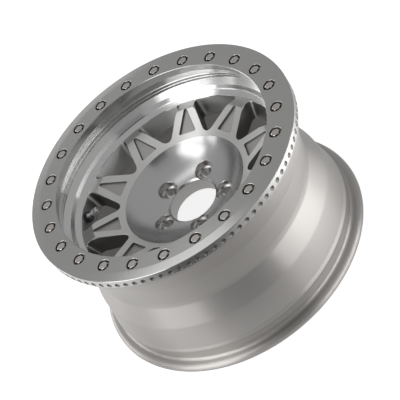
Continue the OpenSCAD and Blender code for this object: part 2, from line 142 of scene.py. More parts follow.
class WheelRingSizes(bpy.types.PropertyGroup):
    """Sizes of the beadlock ring."""
    thickness: length(18, "Thickness", "Thickness of the ring")
    in_r: length(186.8, "Inner radius", "Inner radius of the ring at its face")
    out_r: length(232, "Outer radius", "Outer radius of the ring")
    slope_r: length(216, "Slope", "Radius at which the outer slope starts")
    slope_drop: length(1.4, "Slope drop", "Drop of the outer slope at the edge")
    bolts: IntProperty(name="Bolts", description="Number of ring bolts", default=24, min=3)
    bolt_circle_r: length(203.5, "Bolt circle", "Radius of the bolt circle")
    bolt_turn: angle(4.6, "Bolt turn", "Turn of the first bolt from the first window")
    bolt_hole_r: length(4.15, "Bolt hole", "Radius of a bolt's hole")
    register_gap: length(0.15, "Register gap", "Gap between the ring and the flange's register")
    recess_r: length(10, "Counterbore", "Radius of the counterbore round a bolt's head")
    recess_depth: length(7.6, "Counterbore depth", "Depth of the counterbore")
    dimples: IntProperty(name="Dimples", description="Number of dimples round the edge", default=96, min=3)
    dimple_r: length(4.6, "Dimple", "Radius of a dimple's mouth")
    dimple_depth: length(2, "Dimple depth", "Depth of a dimple")
    dimple_drop: length(11.8, "Dimple drop", "Distance of the dimples from the ring's face")


class WheelFinishes(bpy.types.PropertyGroup):
    """Colours of the finishes."""
    barrel: colour((0.46, 0.444, 0.43), "Barrel", "Turned alloy of the barrel")
    # Painted shade: the barrel's inside and the web's back are a darkened copy of the barrel's turned alloy,
    # standing in for the shade behind the web
    inside: colour((0.26, 0.248, 0.24), "Inside", "Turned alloy of the barrel's inside")
    lip: colour((0.68, 0.68, 0.675), "Lip", "Polished alloy of the inner lip")
    face: colour((0.70, 0.697, 0.69), "Face", "Satin alloy of the spokes' faces")
    dish: colour((0.56, 0.56, 0.56), "Dish", "Satin alloy of the dish")
    # Painted shade: this alloy is darkened far below the face's to stand in for the shade on the walls of the
    # windows, the pockets and the ring's counterbores
    wall: colour((0.23, 0.226, 0.222), "Wall", "Milled alloy of the windows and the bore")
    pocket: colour((0.46, 0.45, 0.435), "Pocket", "Alloy in the spokes' pockets")
    ring: colour((0.50, 0.498, 0.49), "Ring", "Satin alloy of the ring")
    seat: colour((0.62, 0.61, 0.60), "Seat", "Bright machined alloy of the lug pockets")
    # Painted shade: the dimples' alloy is darkened far below the ring's to stand in for the shade inside them
    dimple: colour((0.17, 0.165, 0.16), "Dimple", "Dull alloy in the dimples of the ring's edge")
    bolt: colour((0.54, 0.515, 0.49), "Bolt", "Plated steel of the bolts")
    rubber: colour((0.012, 0.012, 0.012), "Rubber", "Black rubber of the valve")
    chrome: colour((0.70, 0.71, 0.72), "Chrome", "Plating of the valve")
    brass: colour((0.60, 0.42, 0.16), "Brass", "Brass of the valve's core")


class WheelStudio(bpy.types.PropertyGroup):
    """The stage, its lights and the camera."""
    lens: FloatProperty(name="Lens", description="Focal length on a 36 mm sensor", default=140.26)
    shift: FloatProperty(name="Shift", description="Shift of the picture upwards, as a share of its width",
                         default=-0.0013)
    floor: colour((0.35, 0.35, 0.35), "Floor", "Colour of the floor")
    glow: FloatProperty(name="Glow", description="Strength by which the floor shows white", default=0.86)
    sky: FloatProperty(name="Sky", description="Strength of the even light from all round", default=0.45)


def sizes(group):
    """The values of a property group under the scene, as it stands."""
    return getattr(bpy.context.scene, group)


class Value:
    """A shader socket on which Python's arithmetic adds Math nodes."""

    def __init__(self, shader, socket):
        self.shader = shader
        self.socket = socket

    def maths(self, operation, *values):
        return self.shader.node("ShaderNodeMath", {"operation": operation}, *values)

    def __add__(self, other):
        return self.maths("ADD", self, other)

    def __radd__(self, other):
        return self.maths("ADD", other, self)

    def __sub__(self, other):
        return self.maths("SUBTRACT", self, other)

    def __mul__(self, other):
        return self.maths("MULTIPLY", self, other)

    def __truediv__(self, other):
        return self.maths("DIVIDE", self, other)

    def __pow__(self, other):
        return self.maths("POWER", self, other)


class Finish:
    """A procedural metal or rubber, made of nodes on Object coordinates."""

    def __init__(self, name, base, roughness, metallic=1.0, **constants):
        self.material = bpy.data.materials.new(name)
        self.material.use_nodes = True
        self.tree = self.material.node_tree
        self.surface = self.tree.nodes["Principled BSDF"]
        self.set("Base Color", (*base, 1))
        self.set("Roughness", roughness)
        self.set("Metallic", metallic)
        for socket, value in constants.items():
            self.set(socket.replace("_", " "), value)

    def set(self, socket, value):
        """Sets a socket of the surface, or links a value to it."""
        self.feed(self.surface.inputs[socket], value)

    def feed(self, socket, value):
        if isinstance(value, Value):
            self.tree.links.new(value.socket, socket)
        else:
            socket.default_value = value

    def node(self, kind, settings=None, *values, output=0, **named):
        """Adds a node, with its settings first and then its inputs, by place or by name."""
        made = self.tree.nodes.new(kind)
        for key, value in (settings or {}).items():
            setattr(made, key, value)
        for place, value in enumerate(values):
            self.feed(made.inputs[place], value)
        for key, value in named.items():
            self.feed(made.inputs[key.replace("_", " ")], value)
        return Value(self, made.outputs[output])

    def place(self):
        """The Object coordinates: x, y, z and the distance from the wheel's axis."""
        point = self.node("ShaderNodeTexCoord", output="Object")
        split = self.node("ShaderNodeSeparateXYZ", None, point).socket.node
        x, y, z = (Value(self, socket) for socket in split.outputs)
        return point, x, y, z, (x * x + y * y) ** 0.5

    def noise(self, vector, scale, detail=2.0, roughness=0.5):
        """Noise from 0 to 1."""
        return self.node("ShaderNodeTexNoise", None, Vector=vector, Scale=scale, Detail=detail,
                         Roughness=roughness)

    def vector(self, x, y, z):
        return self.node("ShaderNodeCombineXYZ", None, x, y, z)

    def blend(self, first, second, factor):
        """A colour from first to second."""
        mix = self.node("ShaderNodeMix", {"data_type": "RGBA"}).socket.node
        self.feed(mix.inputs[0], factor)
        self.feed(mix.inputs[6], first)
        self.feed(mix.inputs[7], second)
        return Value(self, mix.outputs[2])

    def bump(self, height, strength, distance):
        """Raises the surface by a height."""
        self.set("Normal", self.node("ShaderNodeBump", None, Strength=strength, Distance=distance,
                                     Height=height))


def shade(rgb, factor):
    """A colour made lighter or darker, as a colour socket takes it."""
    return (*(min(1, part * factor) for part in rgb), 1)


def turned_metal(name, base, roughness, groove=0.00025, depth=0.00001, tone=0.06, cloud=0.05, **constants):
    """Metal with the fine rings that a lathe leaves, and faint clouds of tone."""
    metal = Finish(name, base, roughness, **constants)
    point, x, y, z, radius = metal.place()
    along = metal.vector(radius / groove, z / groove, 0)
    rings = metal.noise(along, 1.0, 2.0)
    bands = metal.noise(metal.vector(radius * 160, z * 160, 0), 1.0, 3.0)
    clouds = metal.noise(point, 14.0, 3.0)
    shift = (rings - 0.5) * tone + (bands - 0.5) * tone + (clouds - 0.5) * cloud + 0.5
    metal.set("Base Color", metal.blend(shade(base, 0.8), shade(base, 1.2), shift))
    metal.set("Roughness", roughness + (bands - 0.5) * 0.06 + (clouds - 0.5) * 0.04)
    metal.bump(rings, 0.5, depth)
    return metal.material


def blasted_metal(name, base, roughness, grain=900.0, depth=0.00002, tone=0.08, **constants):
    """Metal with a fine even grain."""
    metal = Finish(name, base, roughness, **constants)
    point, x, y, z, radius = metal.place()
    grains = metal.noise(point, grain, 2.0)
    clouds = metal.noise(point, 25.0, 3.0)
    metal.set("Base Color", metal.blend(shade(base, 0.8), shade(base, 1.2),
                                        (grains - 0.5) * tone + (clouds - 0.5) * tone + 0.5))
    metal.set("Roughness", roughness + (clouds - 0.5) * 0.08)
    metal.bump(grains, 0.4, depth)
    return metal.material


def plain_rubber(name, base):
    """Black rubber with a faint bloom."""
    rubber = Finish(name, base, 0.55, metallic=0.0)
    point, x, y, z, radius = rubber.place()
    bloom = rubber.noise(point, 300.0, 3.0)
    rubber.set("Base Color", rubber.blend(shade(base, 0.7), shade(base, 1.6), bloom))
    rubber.set("Roughness", 0.5 + bloom * 0.15)
    rubber.bump(bloom, 0.3, 0.00005)
    return rubber.material


def make_finishes():
    """All the materials, by the names of their finishes."""
    c = sizes("wheel_finishes")
    streaks = {"Anisotropic": 0.8, "Anisotropic_Rotation": 0.25}
    return {
        "barrel": turned_metal("barrel_turned", c.barrel, 0.4, groove=0.0009, depth=0.000008, **streaks),
        "lip": turned_metal("lip_polished", c.lip, 0.19, groove=0.0012, depth=0.000003, **streaks),
        "face": turned_metal("face_satin", c.face, 0.32, groove=0.0012, depth=0.000004, **streaks),
        "dish": turned_metal("dish_satin", c.dish, 0.24, groove=0.0015, depth=0.000002, **streaks),
        # The wall finish is painted shade, a darkened copy of the milled alloy
        "wall": blasted_metal("wall_painted_shade", c.wall, 0.42),
        "pocket": blasted_metal("pocket_forged", c.pocket, 0.45),
        # The inside finish is painted shade, a darker copy of the barrel's turned alloy
        "inside": turned_metal("barrel_inside_painted_shade", c.inside, 0.4, **streaks),
        "ring": turned_metal("ring_satin", c.ring, 0.21, groove=0.001, depth=0.000004, Anisotropic=0.6,
                             Anisotropic_Rotation=0.25),
        "seat": blasted_metal("seat_machined", c.seat, 0.24, depth=0.000005),
        # The dimple finish is painted shade, a darkened copy of the ring's alloy
        "dimple": blasted_metal("dimple_painted_shade", c.dimple, 0.4),
        "bolt": blasted_metal("bolt_plated", c.bolt, 0.26, depth=0.000008),
        "rubber": plain_rubber("valve_rubber", c.rubber),
        "chrome": blasted_metal("valve_chrome", c.chrome, 0.14, depth=0.000004),
        "brass": blasted_metal("core_brass", c.brass, 0.3),
    }


def finish(name):
    """The material of one finish, made once."""
    return bpy.data.materials[bpy.context.scene["wheel_materials"][name]]


def section(points, closed=True):
    """A bmesh with the outline of a turned section in the XZ plane. A point is its radius, its height and
    the radius that rounds it."""
    bm = bmesh.new()
    verts = [bm.verts.new((r, 0, z)) for r, z, _ in points]
    ends = verts[1:] + (verts[:1] if closed else [])
    for a, b in zip(verts, ends):
        bm.edges.new((a, b))
    count = len(verts)
    corners = []
    for i, (r, z, rounding) in enumerate(points):
        if rounding > 0:
            here = verts[i].co
            back = (verts[i - 1].co - here).normalized()
            on = (verts[(i + 1) % count].co - here).normalized()
            corners.append((verts[i], rounding, math.pi - back.angle(on)))
    for vert, rounding, turn in corners:
        round_corner(bm, vert, rounding, turn)
    return bm


def round_corner(bm, vert, rounding, turn):
    """Rounds a corner of an outline that turns by an angle."""
    bmesh.ops.bevel(bm, geom=[vert], offset=rounding * math.tan(turn / 2), offset_type="OFFSET",
                    segments=max(2, math.ceil(math.degrees(turn) / 9)), profile=0.5, affect="VERTICES",
                    clamp_overlap=False, material=-1)


def turn_section(bm, steps=STEPS):
    """Turns an outline once round the axis."""
    bmesh.ops.spin(bm, geom=bm.verts[:] + bm.edges[:], cent=(0, 0, 0), axis=(0, 0, 1), angle=math.tau,
                   steps=steps, use_merge=True, use_normal_flip=False, use_duplicate=False)
    bmesh.ops.remove_doubles(bm, verts=bm.verts[:], dist=1e-6)
    bmesh.ops.recalc_face_normals(bm, faces=bm.faces[:])
    return bm


def nearest_run(runs, point):
    """The finish of the run of an outline that lies nearest to a point of its section."""
    best = None
    for (r0, z0, _, finish_index), (r1, z1, _, _) in zip(runs, runs[1:]):
        start, run = Vector((r0, z0)), Vector((r1 - r0, z1 - z0))
        share = max(0, min(1, (point - start).dot(run) / max(run.length_squared, 1e-12)))
        gap = (start + run * share - point).length
        if best is None or gap < best[0]:
            best = gap, finish_index
    return best[1]


def paint_runs(bm, runs):
    """Gives each face the finish of its run of the outline."""
    known = {}
    for face in bm.faces:
        centre = face.calc_center_median()
        key = (round(math.hypot(centre.x, centre.y), 5), round(centre.z, 5))
        if key not in known:
            known[key] = nearest_run(runs, Vector(key))
        face.material_index = known[key]


def new_piece(name, bm, materials):
    """An object made of a bmesh, with its finishes and its sharp edges."""
    mesh = bpy.data.meshes.new(name)
    bm.to_mesh(mesh)
    bm.free()
    piece = bpy.data.objects.new(name, mesh)
    bpy.context.scene.collection.objects.link(piece)
    for material in materials:
        mesh.materials.append(material)
    mesh.shade_smooth()
    mesh.set_sharp_from_angle(angle=SHARP)
    return piece


def carve(piece, cutter):
    """Cuts one piece's shape out of another, and removes the cutter."""
    cut = piece.modifiers.new("cut", "BOOLEAN")
    cut.operation = "DIFFERENCE"
    cut.solver = "EXACT"
    cut.material_mode = "INDEX"
    cut.object = cutter
    carved = bpy.data.meshes.new_from_object(piece.evaluated_get(bpy.context.evaluated_depsgraph_get()))
    old = piece.data
    piece.modifiers.clear()
    piece.data = carved
    carved.name = old.name
    bpy.data.meshes.remove(old)
    bpy.data.objects.remove(cutter)
    carved.shade_smooth()
    carved.set_sharp_from_angle(angle=SHARP)


def round_about(bm, count, start=0.0):
    """Copies everything in a bmesh round the wheel's axis."""
    geom = bm.verts[:] + bm.edges[:] + bm.faces[:]
    bmesh.ops.rotate(bm, cent=(0, 0, 0), matrix=Matrix.Rotation(start, 3, "Z"), verts=bm.verts[:])
    for i in range(1, count):
        copied = bmesh.ops.duplicate(bm, geom=geom)
        verts = [item for item in copied["geom"] if isinstance(item, bmesh.types.BMVert)]
        bmesh.ops.rotate(bm, cent=(0, 0, 0), matrix=Matrix.Rotation(math.tau * i / count, 3, "Z"),
                         verts=verts)


def wall_radius(z):
    """Radius of the windows' outer wall at a height."""
    web = sizes("wheel_web")
    lean = (web.ledge_r - web.back_r) / (web.ledge_z - web.back_z)
    return web.back_r - WALL_CLEAR + (z - web.back_z) * lean


def face_height(r):
    """Height of the wheel's face at a radius, from the bore to the ledge."""
    web = sizes("wheel_web")
    if r < web.dish_r:
        return web.hub_t + web_arc_r() - math.sqrt(web_arc_r() ** 2 - max(0, r - web.bore_r) ** 2)
    if r < web.peak_r:
        return web.dish_z + (r - web.dish_r) * (web.peak_z - web.dish_z) / (web.peak_r - web.dish_r)
    return web.peak_z + (r - web.peak_r) * (web.ledge_z - web.peak_z) / (web.ledge_r - web.peak_r)


def web_arc_r():
    """Radius of the dish's arc in section."""
    web = sizes("wheel_web")
    run, rise = web.dish_r - web.bore_r, web.dish_z - web.hub_t
    return (run ** 2 + rise ** 2) / (2 * rise)


def outline_loop(bm, points):
    """Adds a closed outline. A point is x, y and the radius that rounds it."""
    before = set(bm.verts)
    verts = [bm.verts.new((x, y, 0)) for x, y, _ in points]
    for a, b in zip(verts, verts[1:] + verts[:1]):
        bm.edges.new((a, b))
    corners = []
    for i, (_, _, rounding) in enumerate(points):
        if rounding > 0:
            here = verts[i].co
            back = (verts[i - 1].co - here).normalized()
            on = (verts[(i + 1) % len(verts)].co - here).normalized()
            corners.append((verts[i], rounding, math.pi - back.angle(on)))
    for vert, rounding, turn in corners:
        round_corner(bm, vert, rounding, turn)
    return [vert for vert in bm.verts if vert not in before]


def circle_loop(bm, radius, centre_x):
    """Adds a circle whose centre is on the x axis."""
    made = bmesh.ops.create_circle(bm, cap_ends=False, radius=radius, segments=72)
    bmesh.ops.translate(bm, vec=(centre_x, 0, 0), verts=made["verts"])
    return made["verts"]


def stacked(bm, levels):
    """A closed solid through loops that lie one above the other. Each comes with its height: a value, or a
    function of the radius or of x."""
    loops = []
    for verts, height in levels:
        for vert in verts:
            vert.co.z = height(vert.co) if callable(height) else height
        inside = set(verts)
        loops.append([edge for edge in bm.edges if edge.verts[0] in inside and edge.verts[1] in inside])
    for lower, upper in zip(loops, loops[1:]):
        bmesh.ops.bridge_loops(bm, edges=lower + upper)
    for end in (loops[0], loops[-1]):
        bmesh.ops.contextual_create(bm, geom=end)
    bmesh.ops.recalc_face_normals(bm, faces=bm.faces[:])
    return bm


def over_face(rise):
    """Heights that lie so far above the wheel's face."""
    return lambda place: face_height(math.hypot(place.x, place.y)) + rise


def window_outline(outer, grow=0.0):
    """A window's outline with its middle on the x axis, for a radius of its outer wall, grown all round."""
    web = sizes("wheel_web")
    half_pitch = math.pi / web.spokes
    lean = half_pitch + web.spread
    foot_a = half_pitch - math.atan2(web.spoke_half_w, web.peak_r)
    foot = math.hypot(web.peak_r, web.spoke_half_w)
    start = foot * (math.cos(foot_a) - math.sin(foot_a) / math.tan(lean))
    tip_r = (web.window_in_r - start) * math.sin(lean) / (1 - math.sin(lean))
    apex = start - grow / math.sin(lean)

    def on_side(radius):
        reach = -apex * math.cos(lean) + math.sqrt(radius ** 2 - (apex * math.sin(lean)) ** 2)
        return Vector((apex + reach * math.cos(lean), reach * math.sin(lean)))

    crease, corner = on_side(web.peak_r - 6 * MM), on_side(outer + grow)
    turn = math.atan2(corner.y, corner.x)
    arc = [((outer + grow) * math.cos(turn * share), (outer + grow) * math.sin(turn * share), 0)
           for share in (0.35, 0.12, -0.12, -0.35)]
    corner_r = web.window_corner_r + grow
    return [(apex, 0, tip_r + grow), (crease.x, crease.y, 0), (corner.x, corner.y, corner_r), *arc,
            (corner.x, -corner.y, corner_r), (crease.x, -crease.y, 0)]


def window_cutter():
    """The shape of all windows, with a bevel at the face."""
    web = sizes("wheel_web")
    low, high, over = web.back_z - 12 * MM, web.peak_z + 12 * MM, 2 * MM
    bm = bmesh.new()
    at_face = wall_radius(web.ledge_z)
    stacked(bm, [
        (outline_loop(bm, window_outline(wall_radius(low))), low),
        (outline_loop(bm, window_outline(at_face)), over_face(-web.edge)),
        (outline_loop(bm, window_outline(at_face, web.edge + over)), over_face(over)),
        (outline_loop(bm, window_outline(at_face, web.edge + over)), high),
    ])
    # The windows' sides take the wall finish, darkened as painted shade
    for face in bm.faces:
        face.material_index = FACE if 0.3 < abs(face.normal.z) < 0.99 else WALL
    round_about(bm, web.spokes)
    return new_piece("window_cutter", bm, [])


def pocket_outline(grow):
    """A pocket's outline, grown all round."""
    web = sizes("wheel_web")
    apex = web.pocket_out_r + (web.pocket_tip_r * (1 / math.sin(web.pocket_lean) - 1)
                               + grow / math.sin(web.pocket_lean))
    inner = web.pocket_in_r - grow
    half_w = (apex - inner) * math.tan(web.pocket_lean)
    corner_r, tip_r = web.pocket_corner_r + grow, web.pocket_tip_r + grow
    return [(inner, -half_w, corner_r), (apex, 0, tip_r), (inner, half_w, corner_r)]


def pocket_cutter():
    """The shape of all pockets: a sloping floor, slightly drafted sides and a bevel at the face."""
    web = sizes("wheel_web")
    slope = (web.peak_z - web.dish_z) / (web.peak_r - web.dish_r)
    draft, foot, over = 0.5 * MM, 0.6 * MM, 1.5 * MM

    def floor(rise):
        return lambda place: web.dish_z + (place.x - web.dish_r) * slope - web.pocket_depth + rise

    bm = bmesh.new()
    stacked(bm, [
        (outline_loop(bm, pocket_outline(-draft - foot)), floor(0)),
        (outline_loop(bm, pocket_outline(-draft)), floor(foot)),
        (outline_loop(bm, pocket_outline(0)), over_face(-web.edge)),
        (outline_loop(bm, pocket_outline(web.edge + over)), over_face(over)),
        (outline_loop(bm, pocket_outline(web.edge + over)), web.peak_z + 5 * MM),
    ])
    # The pockets' sides take the wall finish, darkened as painted shade
    for face in bm.faces:
        face.material_index = POCKET if abs(face.normal.z) > 0.85 else WALL
    round_about(bm, web.spokes, math.pi / web.spokes)
    return new_piece("pocket_cutter", bm, [])


def lug_cutter():
    """The shape of all lug holes with their conical seats and pockets."""
    web = sizes("wheel_web")
    drop = (web.lug_seat_r - web.lug_hole_r) / math.tan(math.radians(30))
    foot, over, middle = 1 * MM, 2 * MM, web.lug_pcd / 2
    bm = bmesh.new()
    stacked(bm, [
        (circle_loop(bm, radius, middle), height) for radius, height in (
            (web.lug_hole_r, -5 * MM), (web.lug_hole_r, web.lug_pocket_z - drop),
            (web.lug_seat_r, web.lug_pocket_z), (web.lug_pocket_r - foot, web.lug_pocket_z),
            (web.lug_pocket_r, web.lug_pocket_z + foot), (web.lug_pocket_r, over_face(-web.edge)),
            (web.lug_pocket_r + web.edge + over, over_face(over)),
            (web.lug_pocket_r + web.edge + over, web.dish_z))])
    for face in bm.faces:
        face.material_index = SEAT
    round_about(bm, web.lugs, web.lug_turn)
    return new_piece("lug_cutter", bm, [])


def web_runs():
    """The section of the web, from the hub's pad round to the bore."""
    web = sizes("wheel_web")
    mouth_r = web.bore_r + web.bore_bevel
    arc = []
    for i in range(1, 28):
        r = web.dish_r + (mouth_r - web.dish_r) * i / 28
        arc.append((r, face_height(r), 0, DISH))
    # Runs marked INSIDE take the inside finish, darkened as painted shade
    return [
        (web.bore_r, 0.8 * MM, 0, INSIDE), (web.bore_r + 0.8 * MM, 0, 0, INSIDE),
        (web.pad_r, 0, 0, INSIDE), (web.pad_r + 1.5 * MM, 1.5 * MM, 0, INSIDE),
        (web.pad_r + 3 * MM, 9 * MM, 5 * MM, INSIDE),
        (web.dish_r + 4 * MM, web.back_z - 8 * MM, 18 * MM, INSIDE),
        (web.back_r, web.back_z, 0, WALL),
        (web.ledge_r, web.ledge_z, 0, FACE),
        (web.peak_r, web.peak_z, 0.6 * MM, FACE),
        (web.dish_r, web.dish_z, 1.2 * MM, DISH),
        *arc,
        (mouth_r, face_height(mouth_r), 1.5 * MM, SEAT),
        (web.bore_r, web.hub_t - web.bore_bevel, 1.5 * MM, SEAT),
    ]


def rim_runs():
    """The section of the rim, from the web's rear edge round to the ledge."""
    rim, web = sizes("wheel_rim"), sizes("wheel_web")
    rear = -rim.back_spacing
    top = rim.bead_seat_r + rim.flange_h
    face = rear + rim.flange_depth
    hump, slope, slope_r = face + rim.hump, face + rim.slope, rim.bead_seat_r - rim.slope_drop
    seat = rim.seat_z
    well_low, well_top, shoulder = seat - rim.well_low, seat - rim.well_top, seat - rim.shoulder
    # Runs marked INSIDE take the inside finish, darkened as painted shade
    return [
        (web.back_r, web.back_z, 0, INSIDE),
        (web.back_r + 11 * MM, web.back_z - 9 * MM, 6 * MM, INSIDE),
        (rim.well_r - rim.wall, well_top, 8 * MM, INSIDE),
        (rim.well_r - rim.wall, well_low, 8 * MM, INSIDE),
        (slope_r - rim.wall, slope, 25 * MM, INSIDE),
        (rim.bead_seat_r - rim.wall, hump, 10 * MM, INSIDE),
        (rim.bead_seat_r - rim.wall, rear + 9 * MM, 6 * MM, INSIDE),
        (top - 7.2 * MM, rear, 3 * MM, BARREL),
        (top - 3.2 * MM, rear, 0, BARREL),
        (top, rear + 2.6 * MM, 2 * MM, BARREL),
        (top, face, 8.8 * MM, BARREL),
        (rim.bead_seat_r - 0.6 * MM, face, 5.5 * MM, BARREL),
        (rim.bead_seat_r, hump - 6 * MM, 3 * MM, BARREL),
        (rim.bead_seat_r + 1.6 * MM, hump, 3 * MM, BARREL),
        (rim.bead_seat_r - 0.7 * MM, hump + 6 * MM, 5 * MM, BARREL),
        (slope_r, slope, 25 * MM, BARREL),
        (rim.well_r, well_low, 14 * MM, BARREL),
        (rim.well_r, well_top, 14 * MM, BARREL),
        (rim.shoulder_r, shoulder, 12 * MM, BARREL),
        (rim.seat_flange_r - 1 * MM, seat - 7 * MM, 3 * MM, BARREL),
        (rim.seat_flange_r, seat - 1.2 * MM, 0, BARREL),
        (rim.seat_flange_r - 1.2 * MM, seat, 0, FACE),
        (rim.register_r, seat, 0, LIP),
        (rim.register_r, seat + 2 * MM, 0, LIP),
        (rim.lip_r, seat + 2 * MM, 0, LIP),
        *((rim.lip_r + out * MM, seat - down * MM, 0, LIP) for out, down in LIP_LINES),
        (web.ledge_r + 12.7 * MM, web.ledge_z + 12.4 * MM, 0.8 * MM, LIP),
        (web.ledge_r + 8.6 * MM, web.ledge_z + 5.5 * MM, 7 * MM, LIP),
        (web.ledge_r, web.ledge_z, 0, LIP),
    ]


def turned_runs(runs, closed):
    """A bmesh of an outline turned round the axis and painted by its runs."""
    bm = turn_section(section([(r, z, rounding) for r, z, rounding, _ in runs], closed))
    paint_runs(bm, runs + runs[:1] if closed else runs)
    return bm


class WHEEL_OT_body(bpy.types.Operator):
    """Makes the forged wheel: barrel, flanges, lip, spoked web and dish"""
    bl_idname = "wheel.body"
    bl_label = "Wheel Body"

    def execute(self, context):
        materials = [finish(name) for name in SLOTS]
        web = new_piece("wheel_web", turned_runs(web_runs(), True), materials)
        for cutter in (window_cutter(), pocket_cutter(), lug_cutter()):
            carve(web, cutter)
        bm = bmesh.new()
        bm.from_mesh(web.data)
        seam = [f for f in bm.faces if is_seam(f)]
        bmesh.ops.delete(bm, geom=seam, context="FACES")
        rim = turned_runs(rim_runs(), False)
        joined = bpy.data.meshes.new("rim")
        rim.to_mesh(joined)
        rim.free()
        bm.from_mesh(joined)
        bpy.data.meshes.remove(joined)
        bpy.data.objects.remove(web)
        bmesh.ops.remove_doubles(bm, verts=bm.verts[:], dist=2e-6)
        bmesh.ops.recalc_face_normals(bm, faces=bm.faces[:])
        piece = new_piece("wheel_forging", bm, materials)
        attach(piece, "wheel")
        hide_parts("wheel_body")
        return {"FINISHED"}


def is_seam(face):
    """Whether a face of the web is the wall that only closed it for the cuts."""
    centre = face.calc_center_median()
    end = wall_radius(centre.z) + WALL_CLEAR
    return abs(math.hypot(centre.x, centre.y) - end) < 0.15 * MM and face.normal.z < 0.9


class WHEEL_OT_ring(bpy.types.Operator):
    """Makes the beadlock ring with its counterbores and dimpled edge"""
    bl_idname = "wheel.ring"
    bl_label = "Beadlock Ring"

    def execute(self, context):
        ring, rim = sizes("wheel_ring"), sizes("wheel_rim")
        seat, face = rim.seat_z, rim.seat_z + ring.thickness
        edge = face - ring.slope_drop
        runs = [
            (ring.in_r + 0.8 * MM, face, 0, 0), (ring.slope_r, face, 0.5 * MM, 0),
            (ring.out_r - 0.6 * MM, edge, 0, 0), (ring.out_r, edge - 0.8 * MM, 0, 0),
            (ring.out_r - 0.5 * MM, seat + 1 * MM, 0, 0), (ring.out_r - 1.5 * MM, seat, 0, 0),
            (rim.register_r + ring.register_gap, seat, 0, 0),
            (rim.register_r + ring.register_gap, seat + 2 * MM, 0, 0),
            (rim.lip_r, seat + 2 * MM, 0, 0), (ring.in_r, face - 0.8 * MM, 0, 0),
        ]
        piece = new_piece("ring_forging", turned_runs(runs, True),
                          [finish("ring"), finish("wall"), finish("dimple")])
        carve(piece, self.counterbores(ring, face, seat))
        carve(piece, self.dimples(ring, face))
        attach(piece, "wheel")
        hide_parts("beadlock_ring")
        return {"FINISHED"}

    def counterbores(self, ring, face, seat):
        """The bolts' holes and counterbores, each with a bright bevel at its mouth."""
        bevel, over = 0.5 * MM, 1.5 * MM
        floor = face - ring.recess_depth
        bm = section([(0, seat - over, 0), (ring.bolt_hole_r, seat - over, 0), (ring.bolt_hole_r, floor, 0),
                      (ring.recess_r, floor, 0.6 * MM), (ring.recess_r, face - bevel, 0),
                      (ring.recess_r + bevel + over, face + over, 0), (0, face + over, 0)], closed=False)
        turn_section(bm, 48)
        # The counterbores' walls and floors take the wall finish, darkened as painted shade
        for f in bm.faces:
            f.material_index = 1 if f.calc_center_median().z < face - bevel else 0
        bmesh.ops.translate(bm, vec=(ring.bolt_circle_r, 0, 0), verts=bm.verts[:])
        round_about(bm, ring.bolts, ring.bolt_turn)
        return new_piece("counterbore_cutter", bm, [])

    def dimples(self, ring, face):
        """The dimples, each a shallow round cup."""
        ball = (ring.dimple_r ** 2 + ring.dimple_depth ** 2) / (2 * ring.dimple_depth)
        bm = bmesh.new()
        bmesh.ops.create_uvsphere(bm, u_segments=24, v_segments=24, radius=ball)
        far = [v for v in bm.verts if v.co.z < -ball * 0.35]
        bmesh.ops.delete(bm, geom=far, context="VERTS")
        rim_edges = [e for e in bm.edges if e.is_boundary]
        bmesh.ops.contextual_create(bm, geom=rim_edges)
        bmesh.ops.rotate(bm, cent=(0, 0, 0), matrix=Matrix.Rotation(-math.pi / 2, 3, "Y"), verts=bm.verts[:])
        bmesh.ops.translate(bm, vec=(ring.out_r - ring.dimple_depth + ball, 0, face - ring.dimple_drop),
                            verts=bm.verts[:])
        bmesh.ops.recalc_face_normals(bm, faces=bm.faces[:])
        # The dimples take the dimple finish, whose dark colour is painted shade
        for face_in in bm.faces:
            face_in.material_index = 2
        round_about(bm, ring.dimples, math.pi / ring.dimples)
        return new_piece("dimple_cutter", bm, [])


class WHEEL_OT_fasteners(bpy.types.Operator):
    """Gives the bolts, washers and inserts their finish"""
    bl_idname = "wheel.fasteners"
    bl_label = "Fasteners"

    def execute(self, context):
        for name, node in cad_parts.items():
            if name.startswith("ring_bolt") or name in ("ring_washers", "thread_inserts"):
                dress(node, "bolt")
        return {"FINISHED"}


class WHEEL_OT_valve(bpy.types.Operator):
    """Gives the valve's pieces their finishes"""
    bl_idname = "wheel.valve"
    bl_label = "Valve"

    def execute(self, context):
        finishes = {
            "valve_stem": "chrome", "valve_washer": "seat", "valve_cap": "chrome", "valve_nut": "chrome",
            "valve_core_spring": "bolt", "valve_core_body": "brass", "valve_core_pin": "brass",
            "valve_seal": "rubber", "valve_grommet": "rubber", "valve_core_seal": "rubber",
            "valve_cap_seal": "rubber",
        }
        for name, kind in finishes.items():
            dress(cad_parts[name], kind)
        return {"FINISHED"}


def dress(node, kind):
    """Gives a CAD node one finish."""
    node.data.materials.clear()
    node.data.materials.append(finish(kind))


def around(turn, rise):
    """The direction from the wheel that lies so many degrees round from the camera's side and above the
    floor."""
    turn, rise = CAMERA_SIDE + math.radians(turn), math.radians(rise)
    return Vector((math.cos(turn) * math.cos(rise), math.sin(turn) * math.cos(rise), math.sin(rise)))


def facing(place):
    """The matrix of a lamp at a place that faces the wheel."""
    return Matrix.Translation(place) @ (-place).to_track_quat("-Z", "Y").to_matrix().to_4x4()


